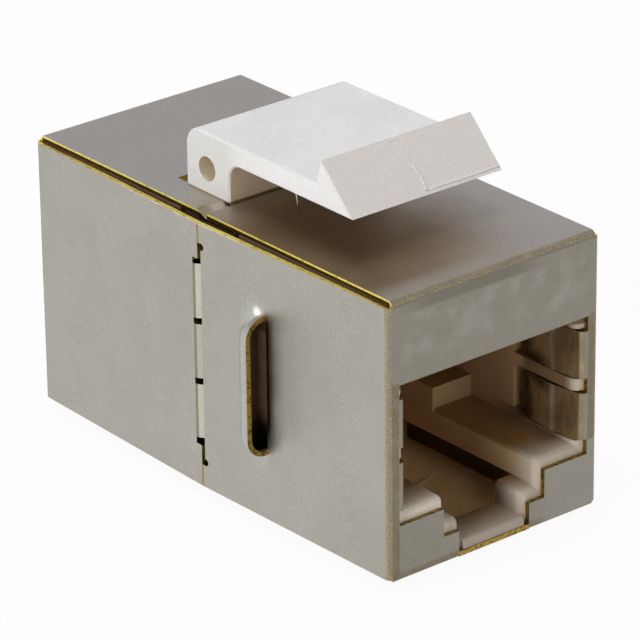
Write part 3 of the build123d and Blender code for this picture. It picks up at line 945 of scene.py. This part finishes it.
def boardLaminate(name, look):
    material, tree, shader = newMaterial(name)
    place = placeInMm(tree)
    faceY = calc(tree, "ABSOLUTE", split(tree, faceDirection(tree))[1])
    grain = useGroup(tree, fineGrain, Place=place, Size=look["grainSize"], Depth=look["grainDepth"])
    skin = blendColour(tree, ramp(tree, grain["Value"], *look["maskFrom"]), look["mask"], look["maskLight"])
    onEdge = below(tree, faceY, look["edgeFacing"])
    feed(tree, shader.inputs["Base Color"], blendColour(tree, onEdge, skin, look["edge"]))
    feed(tree, shader.inputs["Normal"], grain["Normal"])
    shader.inputs["Roughness"].default_value = look["roughness"]
    return material


def dress(material, *names):
    for name in names:
        slots = cadNodes[name].data.materials
        if len(slots) == 0:
            slots.append(material)
        for index in range(len(slots)):
            slots[index] = material


dress(platedSheet("frontPlate", False, plate), "front_shield")
dress(platedSheet("rearPlate", True, plate), "rear_shield")
dress(creamPlastic("creamMoulding", cream), "front_housing", "rear_housing")
dress(creamPlastic("holderMoulding", cream), "front_contact_holder", "rear_contact_holder")
latchFinish = whitePlastic("whiteMoulding", white)
dress(latchFinish, "latch")
contactNames = [f"{end}_contact_{number}" for end in ("front", "rear") for number in range(1, 9)]
dress(goldWire("goldPlate", gold), *contactNames)
dress(boardLaminate("maskedLaminate", laminate), "circuit_board")
print("materials on")

# what the mould left on the latch, in mm
flash = {
    "steps": 20,                    # along a ridge
    "sink": 0.02,                   # how far a ridge's base is under the surface
    "shoulder": 0.7,                # height of its shoulders, as a share
    "faceTop": (7.86, 20.90),       # y and z of the hook face's upper edge
    "faceFoot": (5.42, 18.47),      # and of its lower edge
    "halfWidth": 5.2,
    "parting": {
        "start": (0.06, 0.03),      # across in mm, and as a share of the way up the face
        "rise": 0.72,
        "wander": ((0.10, 5), (0.03, 23)),      # reach in mm and turns
        "swellStart": 0.06,
        "taper": (0.94, 0.35),      # where the ridge ends thin, and how thin
        "width": 0.12,
        "height": 0.05,
    },
    "land": {"start": (0.25, 0.045), "margin": 0.3, "wave": (0.004, 9), "width": 0.17, "height": 0.04},
    # start and run across, start and run up the face, swell and least width and height
    "burr": {"across": (-0.12, 0.3), "up": (0.10, -0.06), "width": (0.16, 0.02), "height": (0.10, 0.01)},
    "nub": {"across": (-0.75, 0.9), "up": (0.975, 0.0), "width": (0.12, 0.02), "height": (0.05, 0.005)},
    "thread": {
        "start": (-5.2, 9.96, 18.5),
        "run": (0.0, -0.15, -0.62),
        "wave": (0.02, 4),
        "width": 0.05,
        "thinning": 0.7,
    },
}


def ridge(name, path, widths, heights, sideways, outward):
    verts, faces = [], []
    for point, width, height in zip(path, widths, heights):
        base = point - outward * flash["sink"]
        crown = point + outward * height * flash["shoulder"]
        half, third = sideways * width / 2, sideways * width / 3
        ring = (base - half, crown - third, crown + third, base + half)
        verts.extend(corner * mm for corner in ring)
    last = len(path) - 1
    for index in range(last):
        for corner in range(4):
            here, there = 4 * index + corner, 4 * index + (corner + 1) % 4
            faces.append((here, there, there + 4, here + 4))
    faces.append((3, 2, 1, 0))
    faces.append(tuple(4 * last + corner for corner in range(4)))
    mesh = bpy.data.meshes.new(name)
    mesh.from_pydata(verts, [], faces)
    mesh.polygons.foreach_set("use_smooth", [True] * len(faces))
    piece = bpy.data.objects.new(name, mesh)
    bpy.context.scene.collection.objects.link(piece)
    mesh.materials.append(latchFinish)
    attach(piece, "root")


def onHookFace(across, share):
    (lowY, lowZ), (highY, highZ) = flash["faceFoot"], flash["faceTop"]
    return Vector((across, lowY + share * (highY - lowY), lowZ + share * (highZ - lowZ)))


def makeFlash(look):
    rise = (onHookFace(0, 1) - onHookFace(0, 0)).normalized()
    level = Vector((1, 0, 0))
    outward = level.cross(rise).normalized()
    steps = [index / look["steps"] for index in range(look["steps"] + 1)]

    parting = look["parting"]
    across, up = parting["start"]
    tail, thin = parting["taper"]
    path, sizes = [], []
    for share in steps:
        wander = sum(reach * math.sin(turns * share) for reach, turns in parting["wander"])
        path.append(onHookFace(across + wander, up + parting["rise"] * share))
        swell = math.sin(math.pi * min(1, parting["swellStart"] + share))
        sizes.append(math.sqrt(swell) if share < tail else thin)
    widths, heights = ([parting[side] * size for size in sizes] for side in ("width", "height"))
    ridge("latch_parting_ridge", path, widths, heights, level, outward)

    land = look["land"]
    across, up = land["start"]
    run = look["halfWidth"] - land["margin"]
    reach, turns = land["wave"]
    path = [onHookFace(across + share * run, up + reach * math.sin(turns * share)) for share in steps]
    widths, heights = ([land[side]] * len(path) for side in ("width", "height"))
    ridge("latch_lower_land", path, widths, heights, -rise, outward)

    for name, mark in (("latch_foot_burr", look["burr"]), ("latch_top_nub", look["nub"])):
        (across, run), (up, climb) = mark["across"], mark["up"]
        path = [onHookFace(across + run * share, up + climb * share) for share in steps]
        widths, heights = (
            [swell * math.sin(math.pi * share) + least for share in steps]
            for swell, least in (mark["width"], mark["height"])
        )
        ridge(name, path, widths, heights, rise, outward)

    thread = look["thread"]
    start, run = Vector(thread["start"]), Vector(thread["run"])
    reach, turns = thread["wave"]
    path = [start + run * share + level * reach * math.sin(turns * share) for share in steps]
    widths = [thread["width"] * (1 - thread["thinning"] * share) for share in steps]
    ridge("latch_flash_thread", path, widths, widths, Vector((0, 1, 0)), -level)


makeFlash(flash)
print("mould flash on the latch")
